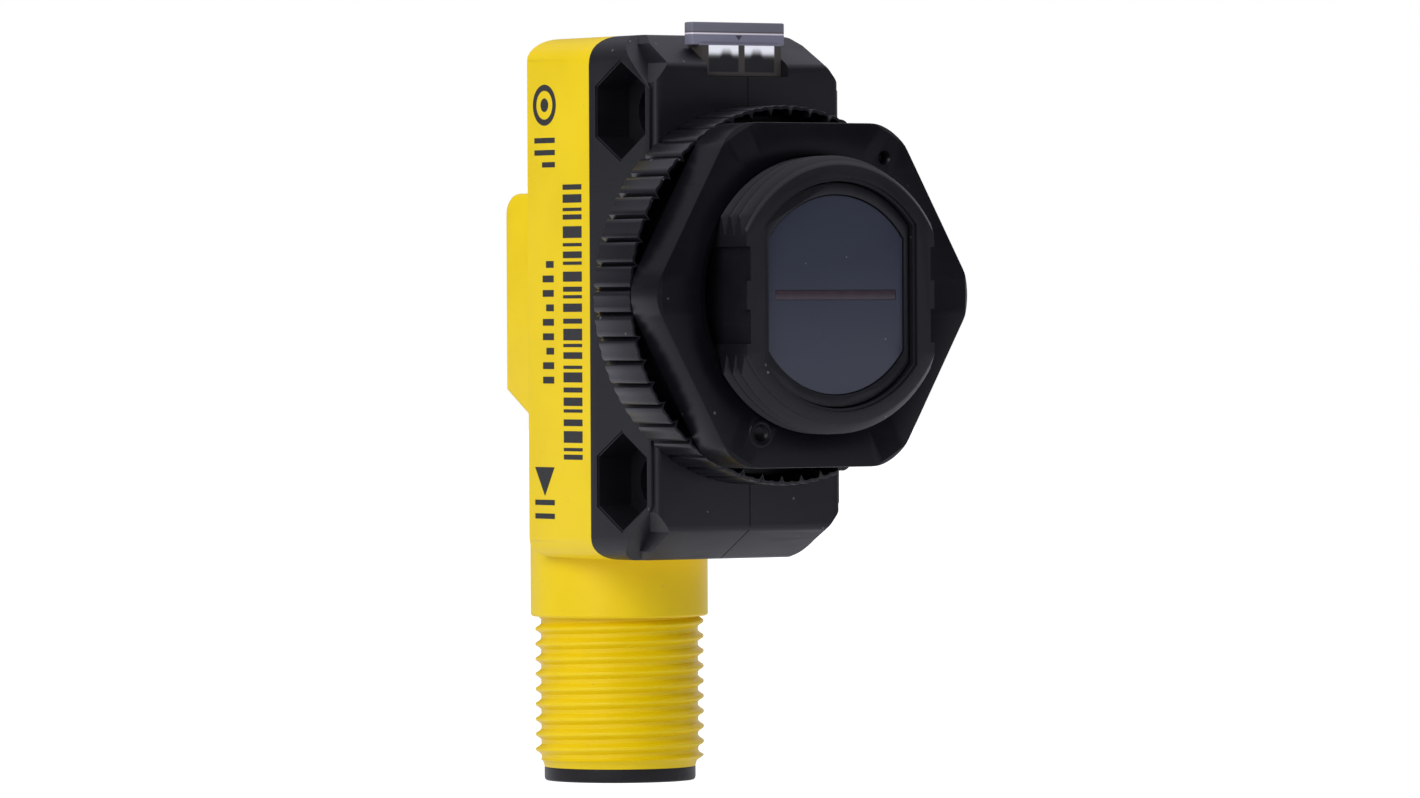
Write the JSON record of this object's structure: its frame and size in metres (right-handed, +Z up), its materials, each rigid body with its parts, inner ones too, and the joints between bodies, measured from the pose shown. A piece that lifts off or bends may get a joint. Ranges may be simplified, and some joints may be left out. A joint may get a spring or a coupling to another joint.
{
  "type": "photoelectric sensor",
  "caption": "Compact photoelectric sensor with a flatted threaded lens barrel, hex mounting nut, serrated washer, side ears with nut pockets, status light pipe and round threaded connector.",
  "frame": {"origin": "where the lens axis meets the housing's front face", "axes": "+Z up through the light pipe, the sensor looks along -Y, +X to the right seen from the front"},
  "size_m": [0.0246, 0.0314, 0.0499],
  "materials": {
    "black_plastic": "fine moulded texture",
    "yellow_plastic": "satin",
    "nut_plastic": "satin",
    "washer_plastic": "satin",
    "window_acrylic": "polished, smoked",
    "clear_acrylic": "polished",
    "polariser_film": "polished",
    "divider_plastic": "matte",
    "seal_rubber": "matte",
    "red_silicone": "matte",
    "board_laminate": "solder mask",
    "chip_epoxy": "matte",
    "ceramic": "matte",
    "tin_plate": "bright tinned",
    "gold_contact": "gold plated",
    "green_led": "clear resin",
    "amber_led": "clear resin",
    "red_led": "clear resin",
    "blue_plastic": "satin",
    "rotor_plastic": "satin"
  },
  "bodies": {
    "housing": {"front_housing": "black_plastic", "rear_housing": "yellow_plastic", "housing_gasket": "seal_rubber", "lens_frame": "black_plastic", "lens_window": "window_acrylic", "window_seal": "seal_rubber", "receiver_polariser": "polariser_film", "emitter_polariser": "polariser_film", "receiver_lens": "clear_acrylic", "emitter_lens": "clear_acrylic", "light_divider": "divider_plastic", "optical_block": "black_plastic", "receiver_shield": "tin_plate", "photodiode": "chip_epoxy", "emitter_led": "red_led", "circuit_board": "board_laminate", "control_chips": "chip_epoxy", "chip_passives": "ceramic", "power_led": "green_led", "output_led": "amber_led", "light_pipe": "clear_acrylic", "trimmer_body": "blue_plastic", "trimmer_seal": "red_silicone", "connector_insert": "black_plastic", "contact_pins": "gold_contact", "pin_leads": "tin_plate"},
    "washer": {"serrated_washer": "washer_plastic"},
    "nut": {"mounting_nut": "nut_plastic"},
    "rotor": {"trimmer_rotor": "rotor_plastic"}
  },
  "joints": [
    {"name": "washer_slide", "type": "slide", "parent": "housing", "child": "washer", "axis": [0, -1, 0], "range_m": [0, 0.003]},
    {"name": "nut_turn", "type": "hinge", "parent": "washer", "child": "nut", "pos_m": [0, 0, 0], "axis": [0, -1, 0], "range_deg": [0, 1080]},
    {"name": "trimmer_turn", "type": "hinge", "parent": "housing", "child": "rotor", "pos_m": [0, 0.0205, -0.00035], "axis": [0, 1, 0], "range_deg": [-135, 135]}
  ],
  "couplings": [
    {"joint": "nut_turn", "follows": "washer_slide", "rad_per_m": 6283.2}
  ]
}
